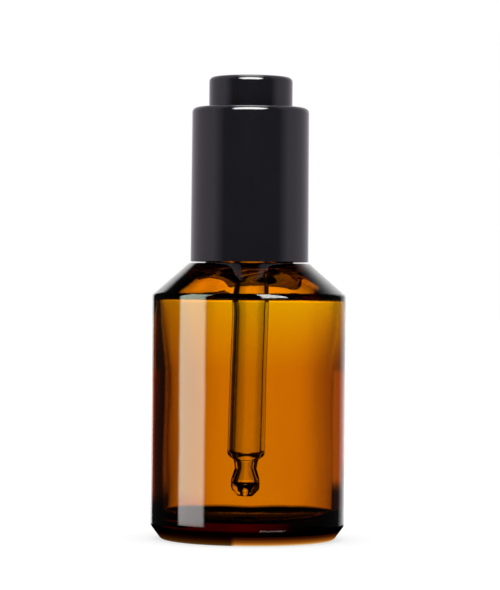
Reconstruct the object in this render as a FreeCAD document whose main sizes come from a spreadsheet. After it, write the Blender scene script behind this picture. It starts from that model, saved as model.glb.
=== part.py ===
import FreeCAD, Part
import math
import os

import Sketcher

# A 30 ml amber glass bottle with a push-button dropper, in millimetres.
#
# +Z is up. The origin is the centre of the circle that the bottle stands on.
# The glass bottle has a conical shoulder and a single-start screw neck. The dropper is a
# threaded inner cap inside a smooth black shroud. A push button in the shroud's top squeezes a
# rubber bulb, which grips a glass pipette that reaches nearly to the bottle's floor.
# Each piece is one body with its own local frame, and stands on its foot at local z = 0.

DOCUMENT_NAME = "dropper_bottle"
SHEET_NAME = "dims"
OUT_FOLDER = "parts"

DRIVING_SIZES = {
    # Glass bottle: outside
    "body_radius": 18.0,
    "foot_radius": 16.05,
    "heel_height": 2.65,
    "foot_inner_radius": 13.4,
    "pushup_depth": 1.3,
    "shoulder_height": 45.25,
    "ledge_radius": 11.25,
    "ledge_height": 51.1,
    "neck_radius": 7.8,
    "lip_height": 64.25,
    # Glass bottle: inside
    "inner_radius": 15.7,
    "floor_height": 4.55,
    "floor_edge_height": 3.75,
    "inner_taper_start": 30.65,
    "inner_shoulder_radius": 16.9,
    "inner_shoulder_height": 44.4,
    "inner_ledge_radius": 9.6,
    "inner_ledge_height": 49.4,
    "neck_bore_start": 50.0,
    "neck_bore_radius": 5.3,
    # Glass bottle: roundings
    "heel_round": 1.4,
    "shoulder_round": 1.0,
    "ledge_round": 0.35,
    "neck_root_round": 0.8,
    "lip_round": 0.6,
    "floor_round": 2.0,
    "inner_shoulder_round": 0.8,
    "inner_ledge_round": 1.5,
    "foot_round": 1.0,
    # Screw thread, shared by the neck and the inner cap
    "thread_lead": 3.175,
    "thread_turns": 1.5,
    "thread_start": 4.05,
    "neck_thread_radius": 8.85,
    "neck_thread_root_half": 1.2,
    "neck_thread_flank": 0.75,
    "neck_thread_crest_half": 0.65,
    "cap_thread_radius": 8.1,
    "cap_thread_root_half": 0.85,
    "cap_thread_crest_half": 0.3,
    "thread_lift": 0.2,
    # How far a thread, key, rib or lug reaches into the wall that carries it
    "root_overlap": 0.3,
    # Seal washer and retaining ring, stacked on the lip
    "washer_radius": 8.4,
    "washer_hole_radius": 5.6,
    "washer_thickness": 0.9,
    "ring_radius": 8.6,
    "ring_hole_radius": 5.7,
    "ring_thickness": 0.8,
    "ring_bead_radius": 8.8,
    "ring_bead_half": 0.15,
    # Rubber bulb
    "flange_radius": 8.5,
    "flange_thickness": 1.0,
    "bulb_waist_radius": 5.4,
    "bulb_radius": 6.0,
    "bulb_wall": 0.9,
    "bulb_bore_radius": 3.35,
    "bulb_bore_length": 5.0,
    "bulb_side_height": 8.3,
    "bulb_height": 14.1,
    "bulb_round": 0.35,
    # Inner cap
    "cap_gap": 0.55,
    "cap_radius": 10.0,
    "cap_bore_radius": 9.05,
    "cap_bore_length": 9.8,
    "cap_seat_radius": 8.6,
    "cap_seat_start": 10.3,
    "washer_bead_radius": 8.25,
    "washer_bead_height": 0.5,
    "web_thickness": 1.5,
    "web_hole_radius": 5.5,
    "chimney_start": 17.6,
    "chimney_radius": 9.6,
    "chimney_bore_radius": 8.75,
    "cap_height": 26.7,
    "flute_count": 6,
    "flute_width": 1.2,
    "flute_depth": 0.35,
    "flute_start": 2.5,
    "slot_count": 4,
    "slot_width": 1.6,
    "slot_depth": 6.0,
    "snap_groove_radius": 9.72,
    "snap_height": 1.2,
    "snap_half": 0.35,
    # Outer shroud
    "shroud_gap": 0.25,
    "shroud_foot_radius": 10.95,
    "shroud_top_radius": 10.85,
    "shroud_bore_radius": 10.1,
    "shroud_height": 28.6,
    "shroud_top_thickness": 1.5,
    "shroud_hole_radius": 7.9,
    "shroud_round": 0.9,
    "shroud_edge_round": 0.15,
    "snap_bead_radius": 9.8,
    "snap_bead_half": 0.25,
    "key_width": 1.0,
    "key_radius": 9.73,
    "key_start": 5.0,
    "key_length": 10.0,
    # Push button
    "button_radius": 7.75,
    "button_height": 8.45,
    "button_wall": 1.2,
    "button_top_thickness": 1.4,
    "button_flange_radius": 8.6,
    "button_flange_thickness": 1.2,
    "button_clearance": 0.05,
    "button_round": 0.9,
    "boss_radius": 2.6,
    "boss_length": 4.1,
    "rib_count": 4,
    "rib_width": 0.8,
    "rib_depth": 1.6,
    "lug_width": 1.4,
    "lug_radius": 9.3,
    # Glass pipette, measured from its tip
    "pipette_radius": 3.4,
    "pipette_bore_radius": 2.45,
    "pipette_length": 65.0,
    "pipette_bead_radius": 3.75,
    "pipette_bead_length": 1.1,
    "pipette_grip_height": 60.35,
    "pipette_offset": 0.7,
    "pipette_lean": 1.1,
    "tip_orifice_radius": 0.6,
    "tip_flat_radius": 1.3,
    "tip_ball_radius": 2.55,
    "tip_ball_low": 1.3,
    "tip_ball_high": 2.9,
    "tip_neck_radius": 1.9,
    "tip_neck": 5.0,
    "tip_collar_radius": 2.15,
    "tip_collar": 6.6,
    "tip_shoulder": 7.4,
    "tip_cavity_low": 1.2,
    "tip_cavity_radius": 1.7,
    "tip_cavity_widest": 2.4,
    "tip_neck_bore_radius": 0.95,
    "tip_collar_bore_radius": 1.15,
    "tip_bore_foot": 6.9,
    "tip_bore_shoulder": 8.0,
    "tip_round": 1.2,
    "tip_bore_round": 0.7,
}


class Size:
    """A length and the sheet expression it is bound to, kept together through plain arithmetic."""

    def __init__(self, value, formula):
        self.value = value
        self.formula = formula

    def __add__(self, other):
        other = as_size(other)
        return Size(self.value + other.value, f"({self.formula} + {other.formula})")

    def __sub__(self, other):
        other = as_size(other)
        return Size(self.value - other.value, f"({self.formula} - {other.formula})")

    def __mul__(self, other):
        other = as_size(other)
        return Size(self.value * other.value, f"({self.formula} * {other.formula})")

    def __truediv__(self, other):
        other = as_size(other)
        return Size(self.value / other.value, f"({self.formula} / {other.formula})")

    def __neg__(self):
        return Size(-self.value, f"(-{self.formula})")


def as_size(number):
    """A Size as it is, or a plain number as a Size."""
    return number if isinstance(number, Size) else Size(float(number), str(number))


class Sizes:
    """The driving dimensions, each as a Size bound to its cell of the sheet."""

    def __init__(self, document, driving):
        sheet = document.addObject("Spreadsheet::Sheet", SHEET_NAME)
        for row, (alias, number) in enumerate(driving.items(), start=1):
            cell = f"A{row}"
            sheet.set(cell, str(number))
            sheet.setAlias(cell, alias)
            setattr(self, alias, Size(float(number), f"{SHEET_NAME}.{alias}"))
        document.recompute()


doc = FreeCAD.newDocument(DOCUMENT_NAME)
d = Sizes(doc, DRIVING_SIZES)


# ---------------------------------------------------------------- sketches


def line_to(r, z):
    """The next corner of an outline, reached by a straight line."""
    return {"end": (as_size(r), as_size(z)), "centre": None}


def arc_to(r, z, centre):
    """The next corner, reached by an arc. centre is "level_start", "level_end", "plumb_start" or
    "plumb_end": level is at the same height as that end, plumb at the same radius."""
    return {"end": (as_size(r), as_size(z)), "centre": centre}


def arc_through(start, end, centre):
    """The arc of an outline between two numeric corners."""
    (rs, zs), (re, ze) = start, end
    way, which = centre.split("_")
    if way == "level":
        zc = zs if which == "start" else ze
        ahead = (zs - ze) ** 2 * (1 if which == "end" else -1)
        rc = (rs**2 - re**2 + ahead) / (2 * (rs - re))
    else:
        rc = rs if which == "start" else re
        ahead = (rs - re) ** 2 * (1 if which == "end" else -1)
        zc = (zs**2 - ze**2 + ahead) / (2 * (zs - ze))
    hub = FreeCAD.Vector(rc, zc, 0)
    a, b = FreeCAD.Vector(rs, zs, 0), FreeCAD.Vector(re, ze, 0)
    outward = (a + b) * 0.5 - hub
    middle = hub + outward.normalize() * (a - hub).Length
    return Part.Arc(a, middle, b)


def new_sketch(body, name, plane):
    """An empty sketch on one of the body's own origin planes."""
    sketch = body.newObject("Sketcher::SketchObject", f"{body.Name}_{name}")
    support = [f for f in body.Origin.OriginFeatures if f.Role == plane][0]
    sketch.AttachmentSupport = (support, [""])
    sketch.MapMode = "FlatFace"
    return sketch


def bind(sketch, kind, geometry, point, size):
    """Fixes one coordinate of a sketch point to a Size, or to the sketch's axis when it is 0."""
    if abs(size.value) < 1e-9:
        axis = -2 if kind == "DistanceX" else -1
        sketch.addConstraint(
            Sketcher.Constraint("PointOnObject", geometry, point, axis)
        )
        return
    index = sketch.addConstraint(
        Sketcher.Constraint(kind, -1, 1, geometry, point, size.value)
    )
    sketch.setExpression(f"Constraints[{index}]", size.formula)


def draw_outline(sketch, items):
    """Draws a closed outline whose corners are bound to the sheet."""
    corners = [(r.value, z.value) for r, z in (item["end"] for item in items)]
    ends = []
    for i, item in enumerate(items):
        start, end = corners[i - 1], corners[i]
        if item["centre"] is None:
            curve = Part.LineSegment(
                FreeCAD.Vector(*start, 0), FreeCAD.Vector(*end, 0)
            )
        else:
            curve = arc_through(start, end, item["centre"])
        index = sketch.addGeometry(curve, False)
        first = sketch.getPoint(index, 1)
        begins = (first - FreeCAD.Vector(*start, 0)).Length
        finishes = (first - FreeCAD.Vector(*end, 0)).Length
        ends.append((index, 1, 2) if begins < finishes else (index, 2, 1))
    for i, item in enumerate(items):
        geometry, start_point, end_point = ends[i]
        follower, follower_start, _ = ends[(i + 1) % len(items)]
        sketch.addConstraint(
            Sketcher.Constraint(
                "Coincident", geometry, end_point, follower, follower_start
            )
        )
        r, z = item["end"]
        bind(sketch, "DistanceX", geometry, end_point, r)
        bind(sketch, "DistanceY", geometry, end_point, z)
        if item["centre"]:
            way, which = item["centre"].split("_")
            level = Sketcher.Constraint(
                "Horizontal" if way == "level" else "Vertical",
                geometry,
                3,
                geometry,
                start_point if which == "start" else end_point,
            )
            sketch.addConstraint(level)


# ---------------------------------------------------------------- features


def settle(feature):
    """Recomputes the document and stops with the feature's name if it has failed."""
    doc.recompute()
    if {"Invalid", "Error"} & set(feature.State) or feature.Shape.isNull():
        raise RuntimeError(f"{feature.Name} failed: {feature.getStatusString()}")


def new_body(label, height=None):
    """A PartDesign body whose Label names its file, standing at a height bound to the sheet."""
    body = doc.addObject("PartDesign::Body", label)
    body.Label = label
    if height is not None:
        body.setExpression("Placement.Base.z", height.formula)
    return body


def revolve(body, items):
    """Turns an outline in the XZ plane about Z."""
    sketch = new_sketch(body, "profile", "XZ_Plane")
    draw_outline(sketch, items)
    feature = body.newObject("PartDesign::Revolution", f"{body.Name}_turned")
    feature.Profile = sketch
    feature.ReferenceAxis = (sketch, ["V_Axis"])
    feature.Angle = 360
    settle(feature)


def rims(shape, corners):
    """The names of a shape's circular edges about Z that pass through these (radius, height)."""
    wanted = [(as_size(r).value, as_size(z).value) for r, z in corners]
    found = []
    for number, edge in enumerate(shape.Edges, start=1):
        if edge.Degenerated or not isinstance(edge.Curve, Part.Circle):
            continue
        centre = edge.Curve.Center
        if math.hypot(centre.x, centre.y) > 1e-4:
            continue
        for r, z in wanted:
            if abs(edge.Curve.Radius - r) < 1e-4 and abs(centre.z - z) < 1e-4:
                found.append(f"Edge{number}")
    if len(found) < len(wanted):
        raise ValueError(f"only {found} match the rims {wanted}")
    return found


def round_rims(body, radius, corners):
    """Rounds the rims of a turned body with one fillet radius."""
    base = body.Tip
    feature = body.newObject("PartDesign::Fillet", f"{body.Name}_round")
    feature.Base = (base, rims(base.Shape, corners))
    feature.setExpression("Radius", radius.formula)
    settle(feature)


def add_thread(body, items):
    """Sweeps a thread profile up a right-handed helix about Z."""
    sketch = new_sketch(body, "thread_profile", "XZ_Plane")
    draw_outline(sketch, items)
    feature = body.newObject("PartDesign::AdditiveHelix", f"{body.Name}_thread")
    feature.Profile = sketch
    feature.ReferenceAxis = (sketch, ["V_Axis"])
    feature.Mode = "pitch-turns-angle"
    feature.setExpression("Pitch", d.thread_lead.formula)
    feature.setExpression("Turns", d.thread_turns.formula)
    settle(feature)


def rectangle(left, right, bottom, top):
    """A closed rectangular outline."""
    return [
        line_to(left, bottom),
        line_to(right, bottom),
        line_to(right, top),
        line_to(left, top),
    ]


def repeat_round(body, feature, count):
    """Repeats a feature evenly about Z."""
    pattern = body.newObject("PartDesign::PolarPattern", f"{feature.Name}_pattern")
    pattern.Originals = [feature]
    pattern.Axis = (feature.Profile[0], ["N_Axis"])
    pattern.Angle = 360
    pattern.setExpression("Occurrences", count.formula)
    body.Tip = pattern
    settle(pattern)


def block(body, name, kind, outline, start, length):
    """Pads or pockets an XY outline, lifted to a start height, upwards over a length."""
    before = body.Tip.Shape.Volume
    sketch = new_sketch(body, name, "XY_Plane")
    sketch.setExpression("AttachmentOffset.Base.z", as_size(start).formula)
    draw_outline(sketch, outline)
    feature = body.newObject(f"PartDesign::{kind}", f"{body.Name}_{name}_{kind.lower()}")
    feature.Profile = sketch
    feature.setExpression("Length", as_size(length).formula)
    feature.Reversed = kind == "Pocket"
    settle(feature)
    grew = body.Tip.Shape.Volume - before
    if (grew <= 0) if kind == "Pad" else (grew >= 0):
        raise ValueError(f"{feature.Name} changed the volume by {grew:.3f}")
    return feature


# ---------------------------------------------------------------- heights of the assembled stack

cap_base = d.ledge_height + d.cap_gap
shroud_base = d.ledge_height + d.shroud_gap
washer_base = d.lip_height
ring_base = washer_base + d.washer_thickness
bulb_base = ring_base + d.ring_thickness
web_base = bulb_base + d.flange_thickness
shroud_top_under = shroud_base + d.shroud_height - d.shroud_top_thickness
button_base = shroud_top_under - d.button_clearance - d.button_flange_thickness


# ---------------------------------------------------------------- sub-parts


def make_bottle():
    """The glass bottle: heavy base, straight wall, conical shoulder and threaded neck."""
    body = new_body("bottle")
    revolve(
        body,
        [
            line_to(0, d.pushup_depth),
            arc_to(d.foot_inner_radius, 0, "plumb_start"),
            line_to(d.foot_radius, 0),
            line_to(d.body_radius, d.heel_height),
            line_to(d.body_radius, d.shoulder_height),
            line_to(d.ledge_radius, d.ledge_height),
            line_to(d.neck_radius, d.ledge_height),
            line_to(d.neck_radius, d.lip_height),
            line_to(d.neck_bore_radius, d.lip_height),
            line_to(d.neck_bore_radius, d.neck_bore_start),
            line_to(d.inner_ledge_radius, d.inner_ledge_height),
            line_to(d.inner_shoulder_radius, d.inner_shoulder_height),
            line_to(d.inner_radius, d.inner_taper_start),
            line_to(d.inner_radius, d.floor_edge_height),
            arc_to(0, d.floor_height, "plumb_end"),
        ],
    )
    round_rims(body, d.neck_root_round, [(d.neck_radius, d.ledge_height)])
    round_rims(body, d.ledge_round, [(d.ledge_radius, d.ledge_height)])
    round_rims(body, d.shoulder_round, [(d.body_radius, d.shoulder_height)])
    round_rims(body, d.heel_round, [(d.body_radius, d.heel_height)])
    round_rims(body, d.foot_round, [(d.foot_radius, 0), (d.foot_inner_radius, 0)])
    round_rims(body, d.floor_round, [(d.inner_radius, d.floor_edge_height)])
    round_rims(
        body,
        d.inner_shoulder_round,
        [(d.inner_shoulder_radius, d.inner_shoulder_height)],
    )
    round_rims(
        body,
        d.inner_ledge_round,
        [
            (d.inner_ledge_radius, d.inner_ledge_height),
            (d.neck_bore_radius, d.neck_bore_start),
        ],
    )
    round_rims(
        body,
        d.lip_round,
        [(d.neck_radius, d.lip_height), (d.neck_bore_radius, d.lip_height)],
    )
    middle = d.ledge_height + d.thread_start
    root = d.neck_radius - d.root_overlap
    flank_radius = d.neck_radius + d.neck_thread_flank
    add_thread(
        body,
        [
            line_to(root, middle - d.neck_thread_root_half),
            line_to(d.neck_radius, middle - d.neck_thread_root_half),
            line_to(flank_radius, middle - d.neck_thread_crest_half),
            arc_to(d.neck_thread_radius, middle, "level_end"),
            arc_to(flank_radius, middle + d.neck_thread_crest_half, "level_start"),
            line_to(d.neck_radius, middle + d.neck_thread_root_half),
            line_to(root, middle + d.neck_thread_root_half),
        ],
    )
    return body


def make_seal_washer():
    """The foam washer that seals the dropper on the bottle's lip."""
    body = new_body("seal_washer", washer_base)
    revolve(body, rectangle(d.washer_hole_radius, d.washer_radius, 0, d.washer_thickness))
    return body


def make_retaining_ring():
    """The ring that snaps into the inner cap and keeps the bulb's flange against the web."""
    body = new_body("retaining_ring", ring_base)
    middle = d.ring_thickness / 2
    revolve(
        body,
        [
            line_to(d.ring_hole_radius, 0),
            line_to(d.ring_radius, 0),
            line_to(d.ring_radius, middle - d.ring_bead_half),
            line_to(d.ring_bead_radius, middle),
            line_to(d.ring_radius, middle + d.ring_bead_half),
            line_to(d.ring_radius, d.ring_thickness),
            line_to(d.ring_hole_radius, d.ring_thickness),
        ],
    )
    return body


def make_bulb():
    """The rubber bulb: flange, waist through the web's hole, bore that grips the pipette, dome."""
    body = new_body("bulb", bulb_base)
    waist_top = d.flange_thickness + d.web_thickness
    cavity_radius = d.bulb_radius - d.bulb_wall
    revolve(
        body,
        [
            line_to(d.bulb_bore_radius, 0),
            line_to(d.flange_radius, 0),
            line_to(d.flange_radius, d.flange_thickness),
            line_to(d.bulb_waist_radius, d.flange_thickness),
            line_to(d.bulb_waist_radius, waist_top),
            line_to(d.bulb_radius, waist_top),
            line_to(d.bulb_radius, d.bulb_side_height),
            arc_to(0, d.bulb_height, "plumb_end"),
            line_to(0, d.bulb_height - d.bulb_wall),
            arc_to(cavity_radius, d.bulb_side_height, "plumb_start"),
            line_to(cavity_radius, d.bulb_bore_length + d.bulb_wall),
            line_to(d.bulb_bore_radius, d.bulb_bore_length),
        ],
    )
    round_rims(
        body,
        d.bulb_round,
        [
            (d.flange_radius, 0),
            (d.flange_radius, d.flange_thickness),
            (d.bulb_radius, waist_top),
            (d.bulb_bore_radius, d.bulb_bore_length),
        ],
    )
    return body


def make_inner_cap():
    """The screw cap inside the shroud: threaded skirt, web under the bulb, button guide above."""
    body = new_body("inner_cap", cap_base)
    web_under = web_base - cap_base
    web_top = web_under + d.web_thickness
    ring_middle = ring_base + d.ring_thickness / 2 - cap_base
    bead_top = washer_base - cap_base
    bead_foot = bead_top - d.washer_bead_height
    groove_half = d.ring_bead_half
    revolve(
        body,
        [
            line_to(d.cap_bore_radius, 0),
            line_to(d.cap_radius, 0),
            line_to(d.cap_radius, d.snap_height - d.snap_half),
            line_to(d.snap_groove_radius, d.snap_height),
            line_to(d.cap_radius, d.snap_height + d.snap_half),
            line_to(d.cap_radius, d.chimney_start - (d.cap_radius - d.chimney_radius)),
            line_to(d.chimney_radius, d.chimney_start),
            line_to(d.chimney_radius, d.cap_height),
            line_to(d.chimney_bore_radius, d.cap_height),
            line_to(d.chimney_bore_radius, web_top),
            line_to(d.web_hole_radius, web_top),
            line_to(d.web_hole_radius, web_under),
            line_to(d.cap_seat_radius, web_under),
            line_to(d.cap_seat_radius, ring_middle + groove_half),
            line_to(d.ring_bead_radius, ring_middle),
            line_to(d.cap_seat_radius, ring_middle - groove_half),
            line_to(d.cap_seat_radius, bead_top),
            line_to(d.washer_bead_radius, bead_foot + d.washer_bead_height / 2),
            line_to(d.cap_seat_radius, bead_foot),
            line_to(d.cap_seat_radius, d.cap_seat_start),
            line_to(d.cap_bore_radius, d.cap_bore_length),
        ],
    )
    middle = (
        d.ledge_height + d.thread_start - d.thread_lead / 2 + d.thread_lift - cap_base
    )
    root = d.cap_bore_radius + d.root_overlap
    add_thread(
        body,
        [
            line_to(root, middle + d.cap_thread_root_half),
            line_to(d.cap_bore_radius, middle + d.cap_thread_root_half),
            line_to(d.cap_thread_radius, middle + d.cap_thread_crest_half),
            line_to(d.cap_thread_radius, middle - d.cap_thread_crest_half),
            line_to(d.cap_bore_radius, middle - d.cap_thread_root_half),
            line_to(root, middle - d.cap_thread_root_half),
        ],
    )
    flute = block(
        body,
        "flute",
        "Pocket",
        rectangle(
            d.cap_radius - d.flute_depth,
            d.cap_radius + d.flute_depth,
            -d.flute_width / 2,
            d.flute_width / 2,
        ),
        d.flute_start,
        d.cap_height - d.flute_start,
    )
    repeat_round(body, flute, d.flute_count)
    slot = block(
        body,
        "slot",
        "Pocket",
        rectangle(
            d.chimney_bore_radius - d.slot_width / 2,
            d.cap_radius + d.flute_depth,
            -d.slot_width / 2,
            d.slot_width / 2,
        ),
        d.cap_height - d.slot_depth,
        d.slot_depth,
    )
    repeat_round(body, slot, d.slot_count)
    return body


def make_outer_shroud():
    """The smooth outer sleeve, snapped and keyed on the inner cap, with a hole for the button."""
    body = new_body("outer_shroud", shroud_base)
    bead_height = d.snap_height + cap_base - shroud_base
    top_under = d.shroud_height - d.shroud_top_thickness
    revolve(
        body,
        [
            line_to(d.shroud_bore_radius, 0),
            line_to(d.shroud_foot_radius, 0),
            line_to(d.shroud_top_radius, d.shroud_height),
            line_to(d.shroud_hole_radius, d.shroud_height),
            line_to(d.shroud_hole_radius, top_under),
            line_to(d.shroud_bore_radius, top_under),
            line_to(d.shroud_bore_radius, bead_height + d.snap_bead_half),
            line_to(d.snap_bead_radius, bead_height),
            line_to(d.shroud_bore_radius, bead_height - d.snap_bead_half),
        ],
    )
    round_rims(body, d.shroud_round, [(d.shroud_top_radius, d.shroud_height)])
    round_rims(
        body,
        d.shroud_edge_round,
        [
            (d.shroud_hole_radius, d.shroud_height),
            (d.shroud_foot_radius, 0),
            (d.shroud_bore_radius, 0),
        ],
    )
    key = block(
        body,
        "key",
        "Pad",
        rectangle(
            d.key_radius,
            d.shroud_bore_radius + d.root_overlap,
            -d.key_width / 2,
            d.key_width / 2,
        ),
        d.key_start,
        d.key_length,
    )
    repeat_round(body, key, d.flute_count)
    return body


def make_push_button():
    """The button: round top, skirt, retaining flange with guide lugs, and a boss on the bulb."""
    body = new_body("push_button", button_base)
    top_under = d.button_height - d.button_top_thickness
    revolve(
        body,
        [
            line_to(d.button_radius - d.button_wall, 0),
            line_to(d.button_flange_radius, 0),
            line_to(d.button_flange_radius, d.button_flange_thickness),
            line_to(d.button_radius, d.button_flange_thickness),
            line_to(d.button_radius, d.button_height),
            line_to(0, d.button_height),
            line_to(0, top_under - d.boss_length),
            line_to(d.boss_radius, top_under - d.boss_length),
            line_to(d.boss_radius, top_under),
            line_to(d.button_radius - d.button_wall, top_under),
        ],
    )
    round_rims(body, d.button_round, [(d.button_radius, d.button_height)])
    rib = block(
        body,
        "rib",
        "Pad",
        rectangle(
            d.boss_radius - d.root_overlap,
            d.button_radius - d.button_wall + d.root_overlap,
            -d.rib_width / 2,
            d.rib_width / 2,
        ),
        top_under - d.rib_depth,
        d.rib_depth + d.root_overlap,
    )
    repeat_round(body, rib, d.rib_count)
    lug = block(
        body,
        "lug",
        "Pad",
        rectangle(
            d.button_radius - d.root_overlap,
            d.lug_radius,
            -d.lug_width / 2,
            d.lug_width / 2,
        ),
        0,
        d.button_flange_thickness,
    )
    repeat_round(body, lug, d.slot_count)
    return body


def make_pipette():
    """The glass pipette: flared top, straight tube, drawn neck and hollow ball tip.

    It hangs from the bulb's soft bore a little off centre, and leans, as a rubber mount lets it."""
    body = new_body("pipette")
    grip = bulb_base + d.bulb_bore_length / 2
    lean = f"({d.pipette_lean.formula} * 1deg)"
    reach = d.pipette_grip_height.formula
    body.setExpression("Placement.Rotation.Axis.x", "0")
    body.setExpression("Placement.Rotation.Axis.y", "1")
    body.setExpression("Placement.Rotation.Axis.z", "0")
    body.setExpression("Placement.Rotation.Angle", lean)
    body.setExpression(
        "Placement.Base.x", f"{d.pipette_offset.formula} - {reach} * sin({lean})"
    )
    body.setExpression("Placement.Base.z", f"{grip.formula} - {reach} * cos({lean})")
    bead_foot = d.pipette_length - d.pipette_bead_length
    revolve(
        body,
        [
            line_to(d.tip_orifice_radius, 0),
            line_to(d.tip_flat_radius, 0),
            line_to(d.tip_ball_radius, d.tip_ball_low),
            line_to(d.tip_ball_radius, d.tip_ball_high),
            line_to(d.tip_neck_radius, d.tip_neck),
            line_to(d.tip_collar_radius, d.tip_collar),
            line_to(d.pipette_radius, d.tip_shoulder),
            line_to(d.pipette_radius, bead_foot),
            line_to(d.pipette_bead_radius, bead_foot + d.pipette_bead_length / 2),
            line_to(d.pipette_bead_radius, d.pipette_length),
            line_to(d.pipette_bore_radius, d.pipette_length),
            line_to(d.pipette_bore_radius, d.tip_bore_shoulder),
            line_to(d.tip_collar_bore_radius, d.tip_bore_foot),
            line_to(d.tip_neck_bore_radius, d.tip_neck),
            line_to(d.tip_cavity_radius, d.tip_cavity_widest),
            line_to(d.tip_orifice_radius, d.tip_cavity_low),
        ],
    )
    round_rims(
        body,
        d.tip_round,
        [
            (d.tip_ball_radius, d.tip_ball_low),
            (d.tip_ball_radius, d.tip_ball_high),
            (d.pipette_radius, d.tip_shoulder),
        ],
    )
    round_rims(
        body,
        d.tip_bore_round,
        [
            (d.tip_neck_radius, d.tip_neck),
            (d.tip_collar_radius, d.tip_collar),
            (d.tip_cavity_radius, d.tip_cavity_widest),
            (d.tip_collar_bore_radius, d.tip_bore_foot),
            (d.pipette_bore_radius, d.tip_bore_shoulder),
        ],
    )
    return body


# ---------------------------------------------------------------- build, check and write


def check(document, bodies):
    """Stops if any object failed to recompute or any sub-part isn't one valid solid."""
    document.recompute()
    failed = [o.Name for o in document.Objects if {"Invalid", "Error"} & set(o.State)]
    if failed:
        raise RuntimeError(f"these objects failed: {failed}")
    for body in bodies:
        shape = body.Shape
        if shape.isNull() or not shape.isValid() or len(shape.Solids) != 1:
            raise RuntimeError(f"{body.Label} is not one valid solid")


def write(bodies):
    """Writes each sub-part to its own STEP file, named by its Label."""
    os.makedirs(OUT_FOLDER, exist_ok=True)
    for body in bodies:
        body.Shape.exportStep(os.path.join(OUT_FOLDER, f"{body.Label}.step"))
        print(f"{body.Label}: {body.Shape.Volume:.1f} mm3")


sub_parts = [
    make_bottle(),
    make_seal_washer(),
    make_retaining_ring(),
    make_bulb(),
    make_inner_cap(),
    make_outer_shroud(),
    make_push_button(),
    make_pipette(),
]
check(doc, sub_parts)
write(sub_parts)
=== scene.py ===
import math

import bpy
from mathutils import Matrix, Vector, noise


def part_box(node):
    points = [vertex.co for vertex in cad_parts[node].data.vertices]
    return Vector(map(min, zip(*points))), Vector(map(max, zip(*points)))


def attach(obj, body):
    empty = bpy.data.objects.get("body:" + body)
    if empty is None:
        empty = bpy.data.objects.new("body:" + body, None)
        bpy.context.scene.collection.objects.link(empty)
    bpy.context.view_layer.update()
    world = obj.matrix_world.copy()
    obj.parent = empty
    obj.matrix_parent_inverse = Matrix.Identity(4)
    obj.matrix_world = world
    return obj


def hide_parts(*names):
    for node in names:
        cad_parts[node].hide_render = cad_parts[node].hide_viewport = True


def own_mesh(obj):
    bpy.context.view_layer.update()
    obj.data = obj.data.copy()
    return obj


# An amber glass bottle with a glossy black push-button dropper, standing in a white studio.
# The glass pieces are turned anew here, because their look depends on how light bends in them.
# The plastic and foam pieces keep their CAD shapes and get materials of their own.

MM = 0.001
TAU = 2 * math.pi

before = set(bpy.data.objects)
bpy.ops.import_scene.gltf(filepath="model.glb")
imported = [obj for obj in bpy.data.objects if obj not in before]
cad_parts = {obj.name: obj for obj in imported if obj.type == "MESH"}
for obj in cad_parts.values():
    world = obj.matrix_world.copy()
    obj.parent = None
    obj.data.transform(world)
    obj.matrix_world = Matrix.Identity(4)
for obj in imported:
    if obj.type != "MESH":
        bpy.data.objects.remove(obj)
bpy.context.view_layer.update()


# ---------------------------------------------------------------- small helpers


def smooth(x):
    """0 below 0, 1 above 1, and an S-curve between."""
    x = max(0.0, min(1.0, x))
    return x * x * (3 - 2 * x)


def between(x, low, high, fade):
    """1 well between low and high, and 0 at both, with an S-curve over the fade."""
    return smooth((x - low) / fade) * smooth((high - x) / fade)


def wobble(place, size, seed):
    """Smooth noise of -1 to 1 at a place, with bumps of about this size."""
    return noise.noise(Vector(place) / size + Vector((seed, seed, seed)))


# ---------------------------------------------------------------- turned meshes


def rounded(corners, run):
    """The points of an outline in millimetres. A corner is (radius, height, rounding)."""
    points = []
    last = len(corners) - 1
    for i, (r, z, rounding) in enumerate(corners):
        here = Vector((r, z))
        if rounding == 0 or i in (0, last):
            points.append(here)
            continue
        back = (Vector(corners[i - 1][:2]) - here).normalized()
        ahead = (Vector(corners[i + 1][:2]) - here).normalized()
        half = back.angle(ahead) / 2
        centre = here + (back + ahead).normalized() * (rounding / math.sin(half))
        first = here + back * (rounding / math.tan(half)) - centre
        final = here + ahead * (rounding / math.tan(half)) - centre
        turn = first.angle_signed(final)
        steps = max(3, math.ceil(abs(turn) / math.radians(7)))
        for k in range(steps + 1):
            spoke = first.copy()
            spoke.rotate(Matrix.Rotation(-turn * k / steps, 2))
            points.append(centre + spoke)
    filled = [points[0]]
    for point in points[1:]:
        start = filled[-1]
        steps = max(1, math.ceil((point - start).length / run))
        filled += [start.lerp(point, k / steps) for k in range(1, steps + 1)]
    return [(p.x, p.y) for p in filled]


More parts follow.
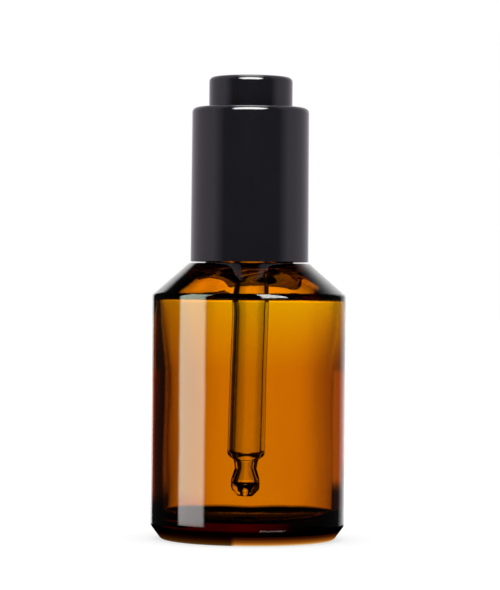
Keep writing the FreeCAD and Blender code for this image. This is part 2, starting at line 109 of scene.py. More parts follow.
def turned(name, outline, segments, deform=None, place=Matrix.Identity(4)):
    """A mesh turned about Z from (radius, height) points in millimetres.

    An outline that starts and ends on the axis makes a solid with poles. Any other is a loop.
    deform(index, radius, angle, height) may give a new radius and height for a point."""
    vertices, faces, rings = [], [], []
    for index, (r, z) in enumerate(outline):
        if r < 1e-6:
            rings.append([len(vertices)])
            vertices.append((0, 0, z))
            continue
        rings.append(list(range(len(vertices), len(vertices) + segments)))
        for k in range(segments):
            angle = TAU * k / segments
            radius, height = deform(index, r, angle, z) if deform else (r, z)
            vertices.append((radius * math.cos(angle), radius * math.sin(angle), height))
    closed = len(rings[0]) > 1
    pairs = list(zip(rings, rings[1:] + rings[:1])) if closed else list(zip(rings, rings[1:]))
    for lower, upper in pairs:
        for k in range(segments):
            after = (k + 1) % segments
            if len(lower) == 1:
                faces.append((lower[0], upper[after], upper[k]))
            elif len(upper) == 1:
                faces.append((lower[k], lower[after], upper[0]))
            else:
                faces.append((lower[k], lower[after], upper[after], upper[k]))
    mesh = bpy.data.meshes.new(name)
    mesh.from_pydata([place @ (Vector(v) * MM) for v in vertices], [], faces)
    mesh.shade_smooth()
    mesh.update()
    piece = bpy.data.objects.new(name, mesh)
    bpy.context.collection.objects.link(piece)
    return piece


def stands_for(piece, material, slot, body, *nodes):
    """Gives a new piece its material, its body and the CAD nodes it replaces. The slot is not used.
    """
    piece.data.materials.append(material)
    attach(piece, body)
    if nodes:
        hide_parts(*nodes)


# ---------------------------------------------------------------- shader helpers


def set_inputs(tree, node, inputs):
    """Sets inputs of a node. inputs maps input names or numbers to values or to sockets to link."""
    for key, value in inputs.items():
        if isinstance(value, bpy.types.NodeSocket):
            tree.links.new(value, node.inputs[key])
        else:
            node.inputs[key].default_value = value


def add(tree, kind, inputs=None, **settings):
    """Adds a node with these inputs, as for set_inputs, and these settings."""
    node = tree.nodes.new(kind)
    for key, value in settings.items():
        setattr(node, key, value)
    set_inputs(tree, node, inputs or {})
    return node


def calc(tree, operation, *values):
    """The result of a Math node."""
    return add(tree, "ShaderNodeMath", dict(enumerate(values)), operation=operation).outputs[0]


def clamped(tree, value):
    """A value kept between 0 and 1."""
    return add(tree, "ShaderNodeClamp", {"Value": value}).outputs[0]


def ramp(tree, value, stops):
    """A colour ramp through (position, grey or colour) stops."""
    node = add(tree, "ShaderNodeValToRGB", {0: value})
    elements = node.color_ramp.elements
    while len(elements) < len(stops):
        elements.new(0.5)
    for element, (position, shade) in zip(elements, stops):
        element.position = position
        colour = (shade,) * 3 if isinstance(shade, (int, float)) else shade
        element.color = (*colour, 1)
    return node.outputs["Color"]


def mix_colour(tree, factor, a, b, blend="MIX"):
    """One colour blended with another."""
    inputs = {0: factor, 6: a, 7: b}
    return add(tree, "ShaderNodeMix", inputs, data_type="RGBA", blend_type=blend).outputs[2]


def times(tree, a, b):
    """Two colours multiplied."""
    return mix_colour(tree, 1.0, a, b, "MULTIPLY")


def plus(tree, a, b):
    """Two colours added."""
    return mix_colour(tree, 1.0, a, b, "ADD")


def grey(level):
    """A grey colour."""
    return (level, level, level, 1)


def noise_map(tree, size, detail=3.0, stretch=(1, 1, 1)):
    """Noise of 0 to 1 over the object, with features of about this size in metres."""
    place = add(tree, "ShaderNodeTexCoord").outputs["Object"]
    scaled = add(tree, "ShaderNodeMapping", {"Vector": place, "Scale": stretch}).outputs[0]
    settings = {"Vector": scaled, "Scale": 1 / size, "Detail": detail}
    return add(tree, "ShaderNodeTexNoise", settings).outputs["Fac"]


def bump(tree, height, metres, normal=None):
    """A bump of this height in metres."""
    inputs = {"Height": height, "Distance": metres, "Strength": 1.0}
    if normal:
        inputs["Normal"] = normal
    return add(tree, "ShaderNodeBump", inputs).outputs[0]


def new_material(name):
    """An empty node material with its Principled node linked to the output."""
    material = bpy.data.materials.new(name)
    material.use_nodes = True
    tree = material.node_tree
    tree.nodes.clear()
    surface = add(tree, "ShaderNodeBsdfPrincipled")
    output = add(tree, "ShaderNodeOutputMaterial", {"Surface": surface.outputs[0]})
    return material, tree, surface, output


# ---------------------------------------------------------------- materials


FOOT_GLOW_HEIGHT = 1.8 * MM
FOOT_GLOW_FROM = -3.0 * MM
FOOT_GLOW_FADE = 0.8 * MM
FOOT_GLOW_LEAST = 0.15
FOOT_GLOW = [
    (0.0, (0.85, 0.6, 0.28)),
    (0.2, (0.45, 0.16, 0.02)),
    (0.4, (0.22, 0.055, 0.004)),
    (0.7, (0.05, 0.008, 0.001)),
    (1.0, (0.0, 0.0, 0.0)),
]


def glow_at_foot(tree, strength):
    """A stand-in for the table's light that gathers in the glass, seen by the camera directly.

    It is at its least left of FOOT_GLOW_FROM, and full from FOOT_GLOW_FADE to the right of there."""
    place = add(tree, "ShaderNodeTexCoord").outputs["Object"]
    across, _, height = add(tree, "ShaderNodeSeparateXYZ", {0: place}).outputs
    glow = ramp(tree, calc(tree, "DIVIDE", height, FOOT_GLOW_HEIGHT), FOOT_GLOW)
    shift = -FOOT_GLOW_FROM / FOOT_GLOW_FADE
    right = clamped(tree, calc(tree, "MULTIPLY_ADD", across, 1 / FOOT_GLOW_FADE, shift))
    right = calc(tree, "MULTIPLY_ADD", right, 1 - FOOT_GLOW_LEAST, FOOT_GLOW_LEAST)
    direct = add(tree, "ShaderNodeLightPath").outputs["Is Camera Ray"]
    strength = calc(tree, "MULTIPLY", calc(tree, "MULTIPLY", right, strength), direct)
    return add(tree, "ShaderNodeEmission", {"Color": glow, "Strength": strength}).outputs[0]


def glass(name, ior, tint_pale, tint_deep, absorbed, per_metre, ripple, foot_glow=0.0):
    """Clear moulded or drawn glass. absorbed is the colour that a long path through it keeps.

    foot_glow is the strength of the glow at the foot, or 0 for none."""
    material, tree, surface, output = new_material(name)
    streaks = noise_map(tree, 6 * MM, detail=2.0, stretch=(1, 1, 0.18))
    skin = noise_map(tree, 2.2 * MM, detail=4.0, stretch=(1, 1, 0.6))
    tint = mix_colour(tree, streaks, tint_pale, tint_deep)
    waves = bump(tree, streaks, ripple)
    set_inputs(
        tree,
        surface,
        {
            "Base Color": tint,
            "Roughness": 0.0,
            "IOR": ior,
            "Transmission Weight": 1.0,
            "Normal": bump(tree, skin, ripple * 0.25, waves),
        },
    )
    volume = add(
        tree, "ShaderNodeVolumeAbsorption", {"Color": absorbed, "Density": per_metre}
    )
    tree.links.new(volume.outputs[0], output.inputs["Volume"])
    if foot_glow:
        light = glow_at_foot(tree, foot_glow)
        whole = add(tree, "ShaderNodeAddShader", {0: surface.outputs[0], 1: light})
        tree.links.new(whole.outputs[0], output.inputs["Surface"])
        material.cycles.emission_sampling = "NONE"
    return material


# Where sharp edges start to get rougher from wear and paler as a painted highlight, and how fast
EDGE_WEAR_AND_HIGHLIGHT_FROM = 0.52
EDGE_WEAR_AND_HIGHLIGHT_GAIN = 4.0
WEAR_HAZE = 0.12


def plastic(name, colour, roughness, peel, coat=0.0):
    """Moulded plastic: faint flow marks, fine handling marks, edges slightly duller from wear, and a
    painted highlight that makes sharp edges paler.
    """
    material, tree, surface, _ = new_material(name)
    flow = noise_map(tree, 5 * MM, detail=3.0, stretch=(1, 1, 0.3))
    smudge = noise_map(tree, 9 * MM, detail=6.0)
    scuff = noise_map(tree, 0.6 * MM, detail=2.0, stretch=(0.25, 0.25, 3.0))
    edge = add(tree, "ShaderNodeNewGeometry").outputs["Pointiness"]
    # Sharp edges get rougher from wear, and a paler colour that is a painted highlight
    worn_edge_and_highlight = clamped(tree, calc(tree, "MULTIPLY", calc(tree, "SUBTRACT", edge, EDGE_WEAR_AND_HIGHLIGHT_FROM), EDGE_WEAR_AND_HIGHLIGHT_GAIN))
    smudge_and_highlight_colour = tuple(min(1.0, c * 1.35 + 0.004) for c in colour[:3]) + (1,)
    shade = mix_colour(tree, calc(tree, "MULTIPLY", smudge, 0.5), colour, smudge_and_highlight_colour)
    haze = calc(tree, "MULTIPLY_ADD", smudge, roughness * 0.5, roughness * 0.75)
    haze = calc(tree, "MULTIPLY_ADD", worn_edge_and_highlight, WEAR_HAZE, haze)
    normal = bump(tree, flow, peel)
    set_inputs(
        tree,
        surface,
        {
            # Paler sharp edges: a painted highlight
            "Base Color": mix_colour(tree, worn_edge_and_highlight, shade, smudge_and_highlight_colour),
            "Roughness": haze,
            "IOR": 1.5,
            "Coat Weight": coat,
            "Coat Roughness": roughness * 0.5,
            "Normal": bump(tree, scuff, peel * 0.15, normal),
        },
    )
    return material


def rubber(name, colour):
    """Soft matt rubber with a dusty bloom."""
    material, tree, surface, _ = new_material(name)
    bloom = noise_map(tree, 3 * MM, detail=5.0)
    grain = noise_map(tree, 0.25 * MM, detail=2.0)
    pale = tuple(c + 0.05 for c in colour[:3]) + (1,)
    set_inputs(
        tree,
        surface,
        {
            "Base Color": mix_colour(tree, calc(tree, "MULTIPLY", bloom, 0.6), colour, pale),
            "Roughness": calc(tree, "MULTIPLY_ADD", bloom, 0.2, 0.55),
            "Sheen Weight": 0.2,
            "Normal": bump(tree, grain, 0.01 * MM),
        },
    )
    return material


def foam(name, colour):
    """Closed-cell foam: fine pores pressed smooth."""
    material, tree, surface, _ = new_material(name)
    place = add(tree, "ShaderNodeTexCoord").outputs["Object"]
    cells = add(tree, "ShaderNodeTexVoronoi", {"Vector": place, "Scale": 1 / (0.28 * MM)})
    pores = cells.outputs["Distance"]
    # The middle of each pore is painted darker: painted shade in the hollow
    pore_shade = tuple(c * 0.78 for c in colour[:3]) + (1,)
    set_inputs(
        tree,
        surface,
        {
            "Base Color": mix_colour(tree, pores, pore_shade, colour),
            "Roughness": 0.75,
            "Subsurface Weight": 0.15,
            "Subsurface Scale": 0.5 * MM,
            "Normal": bump(tree, pores, 0.04 * MM),
        },
    )
    return material


AMBER = glass(
    "amber_glass",
    1.52,
    (1, 0.98, 0.93, 1),
    (1, 0.93, 0.8, 1),
    (0.9633, 0.8717, 0.0, 1),
    3000,
    0.012 * MM,
    foot_glow=1.0,
)
CLEAR = glass(
    "clear_glass", 1.48, (1, 1, 1, 1), (0.97, 0.99, 0.98, 1), (0.86, 0.95, 0.9, 1), 18, 0.004 * MM
)
GLOSS_BLACK = plastic("gloss_black", (0.0075, 0.0072, 0.0095, 1), 0.075, 0.004 * MM, coat=0.3)
MATTE_BLACK = plastic("matte_black", (0.02, 0.02, 0.022, 1), 0.42, 0.02 * MM)
RUBBER = rubber("black_rubber", (0.02, 0.02, 0.021, 1))
FOAM = foam("white_foam", (0.82, 0.82, 0.79, 1))


# ---------------------------------------------------------------- the glass bottle

BODY_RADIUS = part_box("bottle")[1].x / MM
LIP_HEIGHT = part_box("bottle")[1].z / MM
NECK_RADIUS = 7.8
LEDGE_HEIGHT = 51.1
THREAD_LEAD = 3.175
THREAD_TURNS = 1.5
THREAD_START = LEDGE_HEIGHT + 4.05
THREAD_DEPTH = 1.05
THREAD_ROOT_HALF = 1.2
THREAD_CREST_HALF = 0.4
THREAD_FADE = 0.06
NECK_FOOT = LEDGE_HEIGHT + 1.2

# How uneven the moulded glass is, and between which heights
SKIN_WAVE = 0.02
SKIN_FADE = 4
WALL_WAVE = 0.09
WALL_STREAK = 0.04
WALL_FROM, WALL_TO, WALL_FADE = 5, 50, 6
WALL_SHIFT_RIGHT = 0.2
WALL_NARROWS = 0.15
NARROWS_FROM, NARROWS_FADE = 30, 14
CONE_RUMPLE = 0.14
CONE_FROM, CONE_TO, CONE_FADE = 42, 52, 3

OUTSIDE = [
    (0, 1.3, 0),
    (4.5, 1.15, 0),
    (9.0, 0.72, 0),
    (13.4, 0, 1.0),
    (16.05, 0, 1.0),
    (BODY_RADIUS, 2.65, 1.4),
    (BODY_RADIUS, 45.25, 1.0),
    (11.25, LEDGE_HEIGHT, 0.35),
    (NECK_RADIUS, LEDGE_HEIGHT, 0.8),
    (NECK_RADIUS, LIP_HEIGHT, 0.6),
    (6.5, LIP_HEIGHT, 0),
]
INSIDE = [
    (6.5, LIP_HEIGHT, 0),
    (5.3, LIP_HEIGHT, 0.6),
    (5.3, 50.0, 1.5),
    (9.6, 49.4, 1.5),
    (16.9, 44.4, 0.8),
    (15.7, 30.65, 20.0),
    (15.7, 3.75, 2.0),
    (12.0, 4.1, 0),
    (8.0, 4.35, 0),
    (4.0, 4.5, 0),
    (0, 4.55, 0),
]


def thread_height(angle, z):
    """How far the neck's thread stands out at a place on the neck."""
    height = 0.0
    for whole_turns in range(2):
        along = angle / TAU + whole_turns
        to_end = min(along, THREAD_TURNS - along)
        if to_end < 0:
            continue
        off = abs(z - THREAD_START - THREAD_LEAD * along)
        flank = (THREAD_ROOT_HALF - off) / (THREAD_ROOT_HALF - THREAD_CREST_HALF)
        height = max(height, THREAD_DEPTH * smooth(flank) * smooth(to_end / THREAD_FADE))
    return height


def make_bottle():
    """Outer skin, thread and cavity in one closed mesh, with the uneven wall of moulded glass."""
    outside = rounded(OUTSIDE, 0.45)
    inside = rounded(INSIDE, 0.45)
    outline = outside + inside[1:]

    def deform(index, r, angle, z):
        x, y = math.cos(angle), math.sin(angle)
        if index < len(outside):
            if z > NECK_FOOT:
                return r + thread_height(angle, z), z
            skin = SKIN_WAVE * wobble((x * 18, y * 18, z), 9.0, 3.1)
            return r + skin * between(z, 0, NECK_FOOT, SKIN_FADE), z
        uneven = WALL_WAVE * wobble((x * 14, y * 14, z * 0.5), 9.0, 7.7)
        narrowed = smooth((z - NARROWS_FROM) / NARROWS_FADE)
        uneven += (WALL_SHIFT_RIGHT * x - WALL_NARROWS) * narrowed
        uneven += WALL_STREAK * wobble((x * 14, y * 14, z * 0.25), 3.5, 1.3)
        rumple = CONE_RUMPLE * between(z, CONE_FROM, CONE_TO, CONE_FADE)
        rumple *= wobble((x * r, y * r, z), 4.5, 2.2)
        return r + uneven * between(z, WALL_FROM, WALL_TO, WALL_FADE) + rumple, z

    piece = turned("bottle_glass", outline, 384, deform)
    stands_for(piece, AMBER, "amber_glass", "bottle_body", "bottle")


# ---------------------------------------------------------------- the glass pipette

PIPETTE_LEAN = math.radians(1.1)
PIPETTE_OFFSET = 0.7 * MM
GRIP_ABOVE_TIP = 60.35 * MM
GRIP_ABOVE_BULB_FOOT = 2.5 * MM
PIPETTE_LENGTH = 65.0
PIPETTE_RADIUS = 3.4

PIPETTE_OUTLINE = [
    (0.9, 0, 0),
    (1.3, 0, 0.2),
    (2.55, 1.3, 1.2),
    (2.55, 2.9, 1.2),
    (1.9, 5.0, 0.7),
    (2.15, 6.6, 0.7),
    (PIPETTE_RADIUS, 7.4, 1.2),
    (PIPETTE_RADIUS, PIPETTE_LENGTH - 1.1, 0),
    (3.75, PIPETTE_LENGTH - 0.55, 0.3),
    (3.75, PIPETTE_LENGTH, 0.25),
    (2.45, PIPETTE_LENGTH, 0.3),
    (2.45, 8.0, 0.7),
    (1.15, 6.9, 0.7),
    (0.95, 5.0, 0.8),
    (1.7, 2.4, 0.7),
    (0.6, 1.2, 0.3),
    (0.6, 0, 0.15),
    (0.9, 0, 0),
]


def make_pipette():
    """A drawn glass tube with a waisted ball tip, leaning in the bulb's soft bore."""
    grip_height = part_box("bulb")[0].z + GRIP_ABOVE_BULB_FOOT
    lean = Matrix.Rotation(PIPETTE_LEAN, 4, "Y")
    tip = Vector((PIPETTE_OFFSET, 0, grip_height)) - lean @ Vector((0, 0, GRIP_ABOVE_TIP))
    outline = rounded(PIPETTE_OUTLINE, 0.5)[:-1]

    def deform(_, r, angle, z):
        x, y = math.cos(angle), math.sin(angle)
        return r + 0.02 * wobble((x * 4, y * 4, z * 0.3), 3.0, 5.5), z

    place = Matrix.Translation(tip) @ lean
    piece = turned("pipette_glass", outline, 128, deform, place)
    stands_for(piece, CLEAR, "clear_glass", "dropper_body", "pipette")


# ---------------------------------------------------------------- the rubber bulb

BULB_BORE = 3.35
BULB_RADIUS = 6.0
BULB_WALL = 0.9
BULB_ARC_STEPS = 24


def make_bulb():
    """The bulb in two pieces: the gripped flange and waist, and the dome that the button squeezes."""
    low, high = (corner.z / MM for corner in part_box("bulb"))
    web_under, web_top, side_top = low + 1.0, low + 2.5, low + 8.3
    base = [
        (BULB_BORE, low, 0),
        (8.5, low, 0.3),
        (8.5, web_under, 0.3),
        (5.4, web_under, 0.2),
        (5.4, web_top, 0),
        (BULB_BORE, web_top, 0),
        (BULB_BORE, low, 0),
    ]
    piece = turned("bulb_base", rounded(base, 0.5)[:-1], 96)
    stands_for(piece, RUBBER, "black_rubber", "dropper_body", "bulb")

    quarter = [math.pi / 2 * k / BULB_ARC_STEPS for k in range(BULB_ARC_STEPS + 1)]
    rise = high - side_top
    inner = [
        ((BULB_RADIUS - BULB_WALL) * math.sin(a), side_top + (rise - BULB_WALL) * math.cos(a))
        for a in quarter
    ]
    outer = [(BULB_RADIUS * math.cos(a), side_top + rise * math.sin(a)) for a in quarter]
    foot = [
        (BULB_RADIUS - BULB_WALL, side_top, 0),
        (BULB_RADIUS - BULB_WALL, low + 6.2, 0.8),
        (BULB_BORE, low + 5.0, 0.5),
        (BULB_BORE, web_top, 0),
        (BULB_RADIUS, web_top, 0.3),
        (BULB_RADIUS, side_top, 0),
    ]
    outline = inner[:-1] + rounded(foot, 0.5)[:-1] + outer
    piece = turned("bulb_dome", outline, 96)
    stands_for(piece, RUBBER, "black_rubber", "dropper_body", "bulb")
    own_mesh(piece)


make_bottle()
make_pipette()
make_bulb()

for node, material in (
    ("outer_shroud", GLOSS_BLACK),
    ("push_button", GLOSS_BLACK),
    ("inner_cap", MATTE_BLACK),
    ("retaining_ring", MATTE_BLACK),
    ("seal_washer", FOAM),
):
    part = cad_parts[node]
    part.data.materials.clear()
    part.data.materials.append(material)


# ---------------------------------------------------------------- the studio


def heading(tree, direction):
    """Degrees / 360 + 0.5 round the upright axis, from straight behind the object.

    It is measured as the camera sees it, so the studio turns with the camera."""
    up = add(
        tree,
        "ShaderNodeVectorTransform",
        {0: (0, 0, 1)},
        vector_type="VECTOR",
        convert_from="WORLD",
        convert_to="CAMERA",
    ).outputs[0]
    local = add(
        tree,
        "ShaderNodeVectorTransform",
        {0: direction},
        vector_type="VECTOR",
        convert_from="WORLD",
        convert_to="CAMERA",
    ).outputs[0]
    up_parts = add(tree, "ShaderNodeSeparateXYZ", {0: up}).outputs
    level = add(
        tree,
        "ShaderNodeCombineXYZ",
        {0: 0.0, 1: calc(tree, "MULTIPLY", up_parts[2], -1.0), 2: up_parts[1]},
    ).outputs[0]
    ahead = add(tree, "ShaderNodeVectorMath", {0: local, 1: level}, operation="DOT_PRODUCT")
    across = add(tree, "ShaderNodeSeparateXYZ", {0: local}).outputs[0]
    turn = calc(tree, "ARCTAN2", across, ahead.outputs["Value"])
    return calc(tree, "MULTIPLY_ADD", turn, 1 / TAU, 0.5)


def by_heading(stops):
    """Ramp stops from (degrees from straight behind, shade)."""
    return [(0.5 + degrees / 360, shade) for degrees, shade in stops]


ROOM_FOR_GLASS = by_heading(
    [
        (-180, 0.0),
        (-60, 0.02),
        (-21, 0.02),
        (-17, 0.36),
        (-12, 0.56),
        (-9, 0.64),
        (-5, 0.74),
        (-2.5, 1.0),
        (5, 1.0),
        (8, 0.84),
        (12, 0.7),
        (44, 0.58),
        (52, 0.02),
        (180, 0.0),
    ]
)
ROOM_FOR_MIRROR = by_heading(
    [
        (-180, 0.0),
        (-26, 0.02),
        (-21, 1.3),
        (20, 1.3),
        (25, 1.0),
        (30, 0.75),
        (37, 0.43),
        (43, 0.03),
        (180, 0.0),
    ]
)
ROOM_FOR_GLOSS = by_heading(
    [
        (-180, 0.0),
        (-128, 0.02),
        (-104, 0.5),
        (-60, 0.45),
        (-20, 0.6),
        (0, 0.9),
        (30, 0.6),
        (60, 0.45),
        (100, 0.45),
        (122, 0.02),
        (180, 0.0),
    ]
)
GLASS_ABOVE = [(0.0, 0.6), (0.02, 0.6), (0.07, 1.0), (0.5, 1.0), (0.75, 0.12)]
GLASS_AT_HORIZON = GLASS_ABOVE[0][1]
MIRROR_ABOVE = [(0.0, 1.0), (0.46, 1.0), (0.6, 0.4), (0.72, 0.0)]
CEILING = [(0.935, 0.0), (0.965, 1.0)]
CEILING_LIGHT = 4.0
GLOSS_TINT = (1.0, 0.92, 1.03, 1)
MATT_LIGHT = 1.2
DIRECT_DEPTH = 2.5
BLACK = (0, 0, 0, 1)
BACKDROP = 1.16
AFTER_MIRROR = 0.04

# Lamps and cards: left, right and edge in degrees, low and high as the height of a direction
STRIP = {"left": -127, "right": -91, "low": -0.9, "high": 0.75, "edge": 4}
STRIP_LIGHT = (6.0, 7.0, 5.4, 1)
STRIP_LIGHT_LOW = (5.4, 5.1, 5.1, 1)
FRONT_LIGHT = {"half_width": 38, "height": 0.47, "half_height": 0.33, "light": 18.0, "edge": 4.0}
WINDOW_LIGHT = (14.0, 13.5, 13.0, 1)
WINDOW = {"left": 134, "right": 165, "low": 0.05, "high": 0.95, "edge": 3}

# The floor: distances from the bottle's axis in metres, and low and high too
FLOOR_SIZE = 4.0
FLOOR_NEAR = [(0.1, 1.0), (0.16, 0.0)]
FLOOR_STRIP = {**STRIP, "low": 0.045, "high": 9}
# A bright patch painted on the floor near the foot, which only outer skins mirror: a painted
# reflection
PAINTED_FLOOR_PATCH = {**WINDOW, "low": 0.0215, "high": 0.0285, "edge": 0.1}
PAINTED_FLOOR_PATCH_LIGHT = 1.6
SHADOW_REACH = 0.045
SHADOW_REACH_LESS_BEHIND = 0.018
SHADOW_FADE = 0.012
BEHIND = {"half": 75 / 360, "edge": 30 / 360}
FLOOR_GREY = 0.45
FLOOR_FILL = 0.6


def inside(tree, value, low, high, edge):
    """1 between low and high, falling to 0 over the edge on both sides."""
    rising = calc(tree, "DIVIDE", calc(tree, "SUBTRACT", value, low), edge)
    falling = calc(tree, "DIVIDE", calc(tree, "SUBTRACT", high, value), edge)
    return clamped(tree, calc(tree, "ADD", calc(tree, "MINIMUM", rising, falling), 0.5))


def softbox(tree, turn, height, left, right, low, high, edge):
    """1 inside a window of headings and heights, falling to 0 over its edge.

    The edge is in degrees across and edge / 90 in height."""
    across = inside(tree, turn, 0.5 + left / 360, 0.5 + right / 360, edge / 360)
    return calc(tree, "MULTIPLY", across, inside(tree, height, low, high, edge / 90))


def outer_mirror(tree):
    """1 for a ray that has only been mirrored by an outer skin, and not gone through glass."""
    rays = add(tree, "ShaderNodeLightPath").outputs
    return calc(tree, "LESS_THAN", rays["Transmission Depth"], 0.5)


def dimmed_after_mirror(tree, colour, share=1.0):
    """A colour, mostly lost to this share of the rays that were mirrored inside the glass."""
    rays = add(tree, "ShaderNodeLightPath").outputs
    mirrored = calc(tree, "GREATER_THAN", rays["Glossy Depth"], 0.5)
    lost = calc(tree, "MULTIPLY", calc(tree, "MULTIPLY", mirrored, share), 1 - AFTER_MIRROR)
    return times(tree, colour, calc(tree, "SUBTRACT", 1.0, lost))


def softboxes(tree, turn, height):
    """The strip and the window, which only outer skins mirror."""
    strip = mix_colour(tree, softbox(tree, turn, height, **STRIP), BLACK, STRIP_LIGHT)
    window = mix_colour(tree, softbox(tree, turn, height, **WINDOW), BLACK, WINDOW_LIGHT)
    return mix_colour(tree, outer_mirror(tree), BLACK, plus(tree, strip, window))


def world_for_glass(tree, turn, height):
    """What rays that went through or off glass see: one room through it and another in its skin."""
    above = times(tree, ramp(tree, height, GLASS_ABOVE), grey(BACKDROP / GLASS_AT_HORIZON))
    through = dimmed_after_mirror(tree, times(tree, ramp(tree, turn, ROOM_FOR_GLASS), above))
    mirror_above = ramp(tree, height, MIRROR_ABOVE)
    mirrored = times(tree, ramp(tree, turn, ROOM_FOR_MIRROR), mirror_above)
    room = mix_colour(tree, outer_mirror(tree), through, mirrored)
    return plus(tree, room, softboxes(tree, turn, height))


def front_light(tree, turn, height):
    """A round lamp behind the camera, 1 inside and 0 outside."""
    off_behind = calc(tree, "ABSOLUTE", calc(tree, "SUBTRACT", turn, 0.5))
    off_front = calc(tree, "SUBTRACT", 0.5, off_behind)
    u = calc(tree, "MULTIPLY", off_front, 360 / FRONT_LIGHT["half_width"])
    v = calc(tree, "SUBTRACT", height, FRONT_LIGHT["height"])
    v = calc(tree, "DIVIDE", v, FRONT_LIGHT["half_height"])
    disc = calc(tree, "ADD", calc(tree, "MULTIPLY", u, u), calc(tree, "MULTIPLY", v, v))
    disc = calc(tree, "MULTIPLY", calc(tree, "SUBTRACT", 1.0, disc), FRONT_LIGHT["edge"])
    return clamped(tree, disc)


def world_for_gloss(tree, turn, height):
    """What glossy plastic sees: cards all round, a ceiling light and a lamp behind the camera."""
    depth = add(tree, "ShaderNodeLightPath").outputs["Ray Depth"]
    first = calc(tree, "LESS_THAN", depth, DIRECT_DEPTH)
    room = times(tree, ramp(tree, turn, ROOM_FOR_GLOSS), GLOSS_TINT)
    ceiling_light = calc(tree, "MULTIPLY", first, CEILING_LIGHT)
    room = plus(tree, room, times(tree, ramp(tree, height, CEILING), ceiling_light))
    lamp_light = calc(tree, "MULTIPLY", first, FRONT_LIGHT["light"])
    return plus(tree, room, calc(tree, "MULTIPLY", front_light(tree, turn, height), lamp_light))


def make_world():
    """White to the camera, even white to matt surfaces, and cards and softboxes to shiny ones."""
    world = bpy.data.worlds.new("studio")
    bpy.context.scene.world = world
    world.use_nodes = True
    world.cycles.sampling_method = "NONE"
    tree = world.node_tree
    tree.nodes.clear()
    direction = add(tree, "ShaderNodeTexCoord").outputs["Generated"]
    turn = heading(tree, direction)
    height = add(tree, "ShaderNodeSeparateXYZ", {0: direction}).outputs[2]
    rays = add(tree, "ShaderNodeLightPath").outputs
    gloss = world_for_gloss(tree, turn, height)
    shade = mix_colour(tree, rays["Is Glossy Ray"], grey(MATT_LIGHT), gloss)
    shade = mix_colour(tree, rays["Is Singular Ray"], shade, world_for_glass(tree, turn, height))
    shade = mix_colour(tree, rays["Is Camera Ray"], shade, grey(1))
    background = add(tree, "ShaderNodeBackground", {"Color": shade})
    add(tree, "ShaderNodeOutputWorld", {"Surface": background.outputs[0]})


def floor_for_glass(tree, turn, distance):
    """What glass sees on the floor: the room going on, a shadow round the foot, and a painted bright
    patch that only outer skins mirror.
    """
    near = ramp(tree, distance, FLOOR_NEAR)
    outer = outer_mirror(tree)
    room = times(tree, ramp(tree, turn, ROOM_FOR_GLASS), grey(BACKDROP))
    room = dimmed_after_mirror(tree, room, near)
    room = mix_colour(tree, outer, room, ramp(tree, turn, ROOM_FOR_MIRROR))
    strip = calc(tree, "MULTIPLY", softbox(tree, turn, distance, **FLOOR_STRIP), outer)
    strip_colour = mix_colour(tree, near, STRIP_LIGHT, STRIP_LIGHT_LOW)
    room = plus(tree, room, mix_colour(tree, strip, BLACK, strip_colour))
    left, right = 0.5 - BEHIND["half"], 0.5 + BEHIND["half"]
    behind = inside(tree, turn, left, right, BEHIND["edge"])
    reach = calc(tree, "MULTIPLY_ADD", behind, -SHADOW_REACH_LESS_BEHIND, SHADOW_REACH)
    lit = calc(tree, "DIVIDE", calc(tree, "SUBTRACT", distance, reach), SHADOW_FADE)
    seen = mix_colour(tree, clamped(tree, lit), BLACK, room)
    # The painted bright patch gives the bottle's heel a painted reflection
    painted_patch = calc(tree, "MULTIPLY", softbox(tree, turn, distance, **PAINTED_FLOOR_PATCH), outer)
    return mix_colour(tree, painted_patch, seen, grey(PAINTED_FLOOR_PATCH_LIGHT), "ADD")


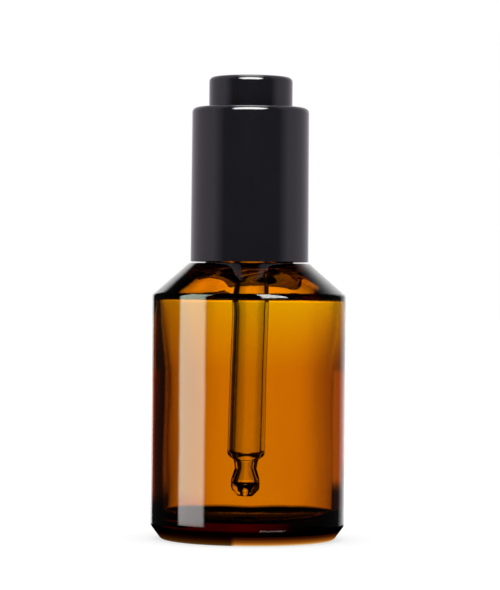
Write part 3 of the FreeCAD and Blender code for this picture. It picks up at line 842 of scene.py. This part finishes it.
def make_floor():
    """A plain pale floor. Glass sees the studio go on over it, and glossy plastic sees its cards."""
    signs = ((-1, -1), (1, -1), (1, 1), (-1, 1))
    corners = [(x * FLOOR_SIZE, y * FLOOR_SIZE, 0) for x, y in signs]
    mesh = bpy.data.meshes.new("floor")
    mesh.from_pydata(corners, [], [(0, 1, 2, 3)])
    floor = bpy.data.objects.new("floor", mesh)
    bpy.context.collection.objects.link(floor)
    material, tree, surface, output = new_material("floor")
    tree.nodes.remove(surface)
    material.cycles.emission_sampling = "NONE"
    spot = add(tree, "ShaderNodeNewGeometry").outputs
    distance = add(tree, "ShaderNodeVectorMath", {0: spot["Position"]}, operation="LENGTH")
    distance = distance.outputs["Value"]
    inputs = {0: spot["Incoming"], "Scale": -1.0}
    towards = add(tree, "ShaderNodeVectorMath", inputs, operation="SCALE")
    rays = add(tree, "ShaderNodeLightPath").outputs
    turn = heading(tree, towards.outputs[0])

    seen = floor_for_glass(tree, turn, distance)
    gloss_room = ramp(tree, turn, ROOM_FOR_GLOSS)
    seen = mix_colour(tree, rays["Is Singular Ray"], gloss_room, seen)
    shown = add(tree, "ShaderNodeEmission", {"Color": seen})
    matt = add(tree, "ShaderNodeBsdfDiffuse", {"Color": grey(FLOOR_GREY)})
    fill = add(tree, "ShaderNodeEmission", {"Color": grey(FLOOR_FILL)})
    matt = add(tree, "ShaderNodeAddShader", {0: matt.outputs[0], 1: fill.outputs[0]})
    sharp = calc(tree, "MAXIMUM", rays["Is Singular Ray"], rays["Is Glossy Ray"])
    both = add(tree, "ShaderNodeMixShader", {0: sharp, 1: matt.outputs[0], 2: shown.outputs[0]})
    tree.links.new(both.outputs[0], output.inputs["Surface"])
    floor.data.materials.append(material)


CAMERA_ROLL = math.radians(-0.5)


def make_camera():
    """A long lens at the height of the bottle's shoulder, rolled half a degree to fit the photo."""
    lens = bpy.data.cameras.new("camera")
    lens.lens = 172.2
    lens.sensor_width = 36
    lens.shift_x = 0.0013
    lens.shift_y = -0.0102
    lens.clip_end = 20
    camera = bpy.data.objects.new("camera", lens)
    bpy.context.collection.objects.link(camera)
    camera.location = (0, -0.524, 0.04635)
    camera.rotation_euler = (math.radians(90), CAMERA_ROLL, 0)
    bpy.context.scene.camera = camera


make_world()
make_floor()
make_camera()

scene = bpy.context.scene
scene.view_settings.view_transform = "Standard"
scene.cycles.max_bounces = 32
scene.cycles.transmission_bounces = 32
scene.cycles.glossy_bounces = 16
scene.cycles.volume_bounces = 0
